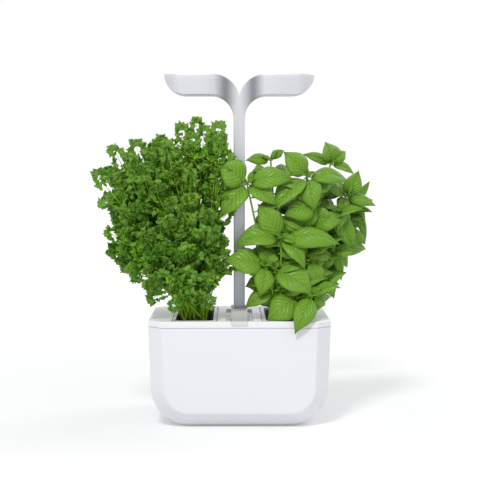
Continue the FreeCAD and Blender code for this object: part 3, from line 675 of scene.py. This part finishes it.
def parsley_leaflet(foliage, rng, base, along, normal, size, tone):
    """Small fan-shaped leaflet, cut into lobes and curled at its toothed edge."""
    across = normal.cross(along).normalized()
    opening = math.radians(rng.uniform(95, 125))
    phase = rng.uniform(-0.5, 0.5)
    cup = rng.uniform(-0.5, 0.7)
    rows = []
    for i in range(leaflet_rings + 1):
        r = max(i / leaflet_rings, leaflet_heart)
        row = []
        for j in range(leaflet_spokes):
            s = 2 * j / (leaflet_spokes - 1) - 1
            turn = s * opening * (0.45 + 0.55 * r ** 0.5)
            lobe = abs(math.cos(math.pi * 1.5 * s + phase))
            tooth = 0.5 if j % 2 else -0.5
            cut = 1 - lobe_depth * (1 - lobe) * r + tooth_depth * tooth * r
            reach = size * r * cut * (1 - 0.2 * s * s)
            crimp = (0.26 * math.sin(7 * s + 2 * r + phase * 9) + 0.22 * tooth) * r * r
            lift = size * (crimp + cup * r * r - 0.3 * r * r * s * s)
            outwards = along * (reach * math.cos(turn))
            aside = across * (reach * math.sin(turn))
            row.append((base + outwards + aside + normal * lift, s * 0.85, r * 0.8))
        rows.append(row)
    foliage.sheet(rows, tone, parsley_thickness)


def parsley_frond(foliage, rng, base, along, normal, size, tone):
    """Compound leaf: an end leaflet and four pairs beside a short rib, each at its own tilt."""
    along = along.normalized()
    normal = (normal - along * normal.dot(along)).normalized()
    across = normal.cross(along).normalized()
    rib_end = base + along * size * frond_rib
    foliage.tube([base, rib_end], [0.4 * MM, 0.26 * MM], 0.9, 4)
    parsley_leaflet(foliage, rng, rib_end, along, normal, size * 0.32, tone)
    for share, lean, grow in frond_pairs:
        for side in (-1, 1):
            turn = math.radians(lean + rng.uniform(-14, 14)) * side
            heading = along * math.cos(turn) + across * math.sin(turn) + normal * rng.uniform(-0.45, 0.5)
            heading.normalize()
            start = base + along * size * share + heading * size * 0.16
            tilt = normal + across * side * rng.uniform(-0.8, 0.8) + along * rng.uniform(-0.6, 0.6)
            tilt = (tilt - heading * tilt.dot(heading)).normalized()
            shade = max(0.0, min(1.0, tone + rng.uniform(-0.3, 0.3)))
            parsley_leaflet(foliage, rng, start, heading, tilt, size * grow, shade)


# Basil: foot of each stem on the soil, its top, and the tip and width of each leaf there, in millimetres.
basil = [
    ((38, -32), (8, -52, 267), [(-22, -60, 289, 30), (-20, -66, 231, 29), (60, -56, 273, 23),
        (41, -66, 244, 21), (25, -40, 279, 12)]),
    ((46, -18), (35, -30, 293), [(7, -34, 293, 14), (50, -24, 304, 11)]),
    ((50, -12), (75, -42, 274), [(50, -48, 302, 24), (37, -62, 240, 27), (82, -60, 238, 24),
        (123, -36, 269, 21), (68, -36, 287, 11)]),
    ((52, 8), (104, -5, 288), [(98, -10, 313, 25), (72, -12, 300, 13), (133, 0, 278, 12),
        (122, 5, 304, 15)]),
    ((54, 22), (121, -12, 252), [(135, -18, 280, 19), (155, -16, 243, 16), (111, -28, 234, 14),
        (91, -24, 267, 16), (127, -20, 270, 10)]),
    ((58, 35), (130, 18, 241), [(145, 12, 217, 14), (152, 20, 269, 9), (148, 22, 196, 12)]),
    ((56, -5), (110, -35, 237), [(107, -46, 215, 20), (127, -30, 193, 19), (125, -20, 218, 13)]),
    ((55, -45), (85, -45, 243), [(50, -58, 233, 27), (92, -40, 219, 22), (67, -44, 213, 20)]),
    ((45, -55), (46, -58, 207), [(21, -64, 244, 26), (-6, -68, 202, 29), (110, -66, 204, 27),
        (73, -74, 175, 21), (64, -70, 202, 10)]),
    ((58, 28), (127, 5, 215), [(131, 0, 191, 10), (146, 10, 196, 12), (115, 0, 231, 15)]),
    ((58, 5), (102, -22, 196), [(116, -28, 157, 12), (125, -14, 171, 16), (88, -30, 163, 23),
        (112, -8, 177, 18)]),
    ((48, -50), (76, -52, 182), [(88, -58, 152, 19), (58, -50, 193, 19), (96, -44, 180, 16)]),
    ((42, -62), (29, -66, 177), [(-16, -74, 184, 31), (23, -80, 145, 21), (33, -60, 195, 20),
        (14, -60, 161, 18)]),
    ((48, -60), (38, -64, 174), [(81, -76, 148, 31)]),
    ((44, -58), (39, -62, 150), [(5, -66, 132, 19), (66, -66, 139, 20), (25, -56, 132, 15)]),
    ((52, -62), (66, -66, 143), [(30, -78, 118, 30), (84, -62, 150, 11)]),
    ((56, -58), (80, -72, 145), [(60, -96, 108, 22), (96, -62, 133, 15), (88, -60, 154, 11)]),
    ((60, -20), (92, -40, 160), [(107, -42, 139, 16), (80, -44, 171, 15), (106, -30, 167, 13)]),
]

# Parsley: top of each listed stalk, in millimetres.
parsley = [
    (-47, -54, 319), (-24, -54, 311), (-63, -56, 308), (-22, -55, 300), (-84, -52, 299), (-109, -48, 291),
    (-135, 5, 289), (-122, 22, 263), (-146, -50, 262), (-131, -42, 239), (-132, 12, 217), (-134, -45, 204),
    (-134, -18, 182), (-109, -55, 166), (-87, -62, 249), (-54, -66, 262), (-34, -48, 287), (-73, -72, 216),
    (-37, -68, 223), (-54, -75, 186), (-24, -54, 196), (-99, -66, 202), (-30, -74, 160), (-75, -76, 159),
    (-88, -70, 150), (-62, -80, 138), (-44, -78, 141), (-20, -62, 176), (-103, -50, 181), (-118, -40, 196),
    (-100, -60, 268), (-112, -50, 252), (-76, -60, 290), (-52, -58, 300), (-116, -20, 278), (-20, -56, 236),
    (-22, -52, 262), (-118, -48, 222), (-92, -68, 176), (-40, -76, 204),
]

# Places in that list of the stalks whose leaves turn their undersides to the front
turned_tops = (11, 12, 28)


def mm(x, y, z):
    return Vector((x, y, z)) * MM


def near_lamp(spot, margin):
    """Whether a point is nearer to the lamp's stem than margin."""
    low, high = stem_box
    return low.x - margin < spot.x < high.x + margin and low.y - margin < spot.y < high.y + margin


def basil_plant(material):
    """Stems from the soil to the listed crowns, with large leaves, three young ones and side leaves each."""
    rng = random.Random(basil_seed)
    foliage = Foliage()
    for (foot_x, foot_y), crown, leaves in basil:
        foot = mm(foot_x, foot_y, soil_top / MM)
        top = mm(*crown)
        path = curved(foot, top, basil_lean, 9)
        foliage.tube(path, [basil_foot_radius - basil_taper * i / 9 for i in range(10)], 0.75)
        for x, y, z, width in leaves:
            reach = mm(x, y, z) - top
            base = top + reach * 0.1
            foliage.tube([top, base + reach * 0.03], [0.9 * MM, 0.6 * MM], 0.8, 5)
            facing = TOWARDS_VIEWER + UP * rng.uniform(0.4, 1.0) + RIGHT * rng.uniform(-0.5, 0.5)
            # Painted light: the higher a leaf, the lighter its tone, on top of a random share
            tone = rng.uniform(0.15, 0.7) + 0.25 * (z - 120) / 180
            basil_blade(foliage, rng, base, mm(x, y, z), width * MM * basil_fullness, facing, tone)
        for turn in range(3):
            angle = turn * math.pi * 2 / 3 + rng.uniform(0, 1.2)
            heading = Vector((math.cos(angle), 0.5 * math.sin(angle) - 0.6, 0.4 + 0.4 * math.sin(angle)))
            tip = top + heading.normalized() * rng.uniform(young_shortest, young_longest)
            basil_blade(foliage, rng, top, tip, young_width, TOWARDS_VIEWER + UP, 1.0, 8, 3)
        basil_side_leaves(foliage, rng, path)
    return foliage.build("basil_foliage", material)


def basil_side_leaves(foliage, rng, path):
    """Opposite pairs of leaves at the joints lower down a stem, each pair across the last, darker with
    painted shade.
    """
    angle = rng.uniform(0, math.pi)
    for point in path[2:9] + path[3:9]:
        angle += math.pi / 2 + rng.uniform(-0.3, 0.3)
        for turn in (angle, angle + math.pi):
            heading = Vector((math.cos(turn), math.sin(turn), rng.uniform(-0.2, 0.5)))
            base = point + heading * side_stalk
            tip = base + heading * rng.uniform(side_shortest, side_longest)
            middle = base.lerp(tip, 0.6)
            by_stem = near_lamp(tip, side_stem_gap) or near_lamp(middle, side_stem_gap)
            by_parsley = tip.x < side_middle_gap
            too_low = tip.z < lid_top + side_lid_gap
            too_far_front = tip.y < side_front
            if by_stem or by_parsley or too_low or too_far_front:
                continue
            foliage.tube([point, base], [0.8 * MM, 0.6 * MM], 0.75, 5)
            facing = UP * 0.8 + heading * -0.2 + TOWARDS_VIEWER * rng.uniform(0.3, 1.2)
            width = rng.uniform(side_narrowest, side_widest)
            # A darker tone: painted shade inside the foliage
            basil_blade(foliage, rng, base, tip, width, facing, rng.uniform(0.0, 0.5), 12, 4)


def parsley_tops(rng):
    """The listed tops, then more of them spread between these and to the rear."""
    listed = [mm(*top) for top in parsley]
    tops = list(listed)
    while len(tops) < parsley_stalks:
        a, b = rng.sample(listed, 2)
        spot = a.lerp(b, rng.uniform(0.05, 0.95))
        spot.y = rng.uniform(spot.y - 0.01, parsley_rear)
        under_lamp = abs(spot.x) < lamp_half_width and abs(spot.y) < lamp_half_depth
        too_tall = under_lamp and spot.z > head_bottom - pod_lift - frond_height
        if not near_lamp(spot, parsley_stem_gap) and not too_tall:
            tops.append(spot)
    return tops


def parsley_plant(material):
    """Stalks from rows on the soil to all the tops, with three fronds each, with painted light round one
    spot.
    """
    rng = random.Random(parsley_seed)
    foliage = Foliage()
    middle = mm(-55, 0, 185)
    for index, top in enumerate(parsley_tops(rng)):
        foot_x = foot_middle + foot_spread * math.sin(foot_turn * index)
        foot_y = foot_front + foot_spacing * (index % foot_rows)
        path = curved(mm(foot_x, foot_y, soil_top / MM), top, parsley_lean, 8)
        foliage.tube(path, [parsley_foot_radius - parsley_taper * i / 8 for i in range(9)], 0.92, 5)
        ahead = (path[-1] - path[-3]).normalized()
        outward = (top - middle).normalized()
        # Painted light: tops near one spot get a lighter tone
        glow = painted_light_lift * math.exp(-((top - painted_light_spot).length / painted_light_reach) ** 2)
        facing = -1 if index in turned_tops else 1
        for turn in (-1, 0, 1):
            spread = ahead.cross(outward + UP * 0.3).normalized() * turn * 0.95
            heading = ahead * 0.7 + spread + UP * 0.15
            root = path[-1] if turn == 0 else path[-2]
            normal = (outward * 0.7 + UP * 0.7 + TOWARDS_VIEWER * 0.6) * facing
            size = rng.uniform(frond_shortest, frond_longest)
            tone = min(1.0, rng.uniform(0.0, 0.8) + glow)
            parsley_frond(foliage, rng, root, heading, normal, size, tone)
    return foliage.build("parsley_foliage", material)


def soil_surface(low, high, seed):
    """Points and faces of an uneven top on the substrate, level at the pod's rim."""
    width = high.x - low.x - 2 * soil_margin
    depth = high.y - low.y - 2 * soil_margin
    points = []
    for i in range(soil_lines + 1):
        for j in range(soil_columns + 1):
            x = low.x + soil_margin + width * j / soil_columns
            y = low.y + soil_margin + depth * i / soil_lines
            spot = Vector((x, y, seed))
            lump = noise.noise(spot * coarse_lumps) * 0.9 + noise.noise(spot * fine_lumps) * 0.5
            from_ends = 4 * min(i, soil_lines - i) / soil_lines * 3
            from_sides = 4 * min(j, soil_columns - j) / soil_columns
            inside = min(1.0, from_ends, from_sides)
            points.append(Vector((x, y, high.z + (0.5 + max(lump, -0.4)) * MM * inside)))
    faces = []
    for i in range(soil_lines):
        for j in range(soil_columns):
            a = i * (soil_columns + 1) + j
            faces.append((a, a + 1, a + soil_columns + 2, a + soil_columns + 1))
    return points, faces


def add_crumbs(points, faces, low, high, seed):
    """Small eight-sided crumbs strewn over the soil."""
    rng = random.Random(seed)
    for _ in range(crumbs):
        x = rng.uniform(low.x + crumb_margin, high.x - crumb_margin)
        y = rng.uniform(low.y + crumb_margin, high.y - crumb_margin)
        size = rng.uniform(0.5, 1.4) * MM
        centre = Vector((x, y, high.z + 0.7 * MM + size * 0.3))
        start = len(points)
        turn = rng.uniform(0, math.pi)
        for k in range(4):
            angle = turn + k * math.pi / 2
            points.append(centre + Vector((math.cos(angle), math.sin(angle), rng.uniform(-0.3, 0.3))) * size)
        points.append(centre + UP * size * rng.uniform(0.5, 0.9))
        points.append(centre - UP * size * 0.7)
        for k in range(4):
            a, b = start + k, start + (k + 1) % 4
            faces.append((a, b, start + 4))
            faces.append((b, a, start + 5))


def soil_bed(name, pod, material, seed):
    """Crumbly top of the substrate, inside the pod's rim."""
    low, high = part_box(pod + "_substrate")
    points, faces = soil_surface(low, high, seed)
    add_crumbs(points, faces, low, high, seed)
    mesh = bpy.data.meshes.new(name)
    mesh.from_pydata(points, [], faces)
    mesh.materials.append(material)
    piece = bpy.data.objects.new(name, mesh)
    bpy.context.scene.collection.objects.link(piece)
    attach(piece, pod + "_pod")


def plant_on_pod(piece, pod, node):
    """Foliage that replaces a packed plant."""
    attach(piece, pod)
    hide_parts(node)
    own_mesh(piece)


def folding_lead():
    """Coiled lead inside the guide: it stands on the guide's floor."""
    node = frame["nodes"]["lamp_lead"]
    piece = bpy.data.objects.new("lamp_lead_coil", node.data.copy())
    bpy.context.scene.collection.objects.link(piece)
    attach(piece, "deck")
    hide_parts("lamp_lead")
    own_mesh(piece)


def all_materials():
    return {
        "white_gloss": moulded("white_gloss", (0.83, 0.84, 0.87), 0.24, coat=0.2),
        "lid_gloss": moulded("lid_gloss", (0.87, 0.875, 0.89), 0.3),
        "box_plastic": moulded("box_plastic", (0.8, 0.81, 0.83), 0.32),
        "pod_plastic": moulded("pod_plastic", (0.78, 0.79, 0.82), 0.34),
        "tank_plastic": moulded("tank_plastic", (0.72, 0.74, 0.76), 0.4),
        "grey_plastic": moulded("grey_plastic", (0.16, 0.17, 0.18), 0.5),
        "clip_plastic": moulded("clip_plastic", (0.7, 0.725, 0.69), 0.36),
        "button_plastic": moulded("button_plastic", (0.55, 0.56, 0.57), 0.35),
        "inlet_black": moulded("inlet_black", (0.02, 0.02, 0.021), 0.45),
        "diffuser_plastic": moulded("diffuser_plastic", (0.86, 0.86, 0.84), 0.5),
        "ribbon_plastic": moulded("ribbon_plastic", (0.6, 0.6, 0.6), 0.5),
        "led_white": moulded("led_white", (0.85, 0.75, 0.35), 0.3),
        "foot_rubber": rubber("foot_rubber", (0.05, 0.05, 0.052)),
        "lead_rubber": rubber("lead_rubber", (0.015, 0.015, 0.015)),
        "screw_steel": steel(),
        "board_green": circuit("board_green", (0.01, 0.06, 0.025), (0.03, 0.16, 0.07)),
        "board_white": circuit("board_white", (0.8, 0.8, 0.8), (0.6, 0.6, 0.6)),
        "brushed_aluminium": brushed_aluminium(),
        "substrate_soil": soil(),
        "wick_felt": felt(),
        "basil_green": leaf_skin("basil_green", dark=(0.03, 0.13, 0.001), light=(0.21, 0.46, 0.006),
                                 young=(0.5, 0.68, 0.03), under=(0.17, 0.35, 0.03),
                                 veins=basil_veins, gloss=0.27, relief=1.5 * MM),
        "parsley_green": leaf_skin("parsley_green", dark=(0.02, 0.11, 0.001), light=(0.15, 0.42, 0.006),
                                   young=(0.5, 0.75, 0.05), under=(0.17, 0.36, 0.04),
                                   veins=parsley_veins, gloss=0.33, relief=0.6 * MM),
    }


def main():
    bpy.context.scene.view_settings.view_transform = "Standard"
    add_camera()
    add_world(fill_light, backdrop_white)
    add_floor()
    add_lamp("key", key_spot, lamps_aim, key_size, key_power)
    add_lamp("rim", rim_spot, lamps_aim, rim_size, rim_power)
    materials = all_materials()
    dress(materials)
    plant_on_pod(basil_plant(materials["basil_green"]), "right_pod", "basil_plant")
    plant_on_pod(parsley_plant(materials["parsley_green"]), "left_pod", "parsley_plant")
    folding_lead()
    soil_bed("left_soil", "left", materials["substrate_soil"], left_soil_seed)
    soil_bed("right_soil", "right", materials["substrate_soil"], right_soil_seed)


main()
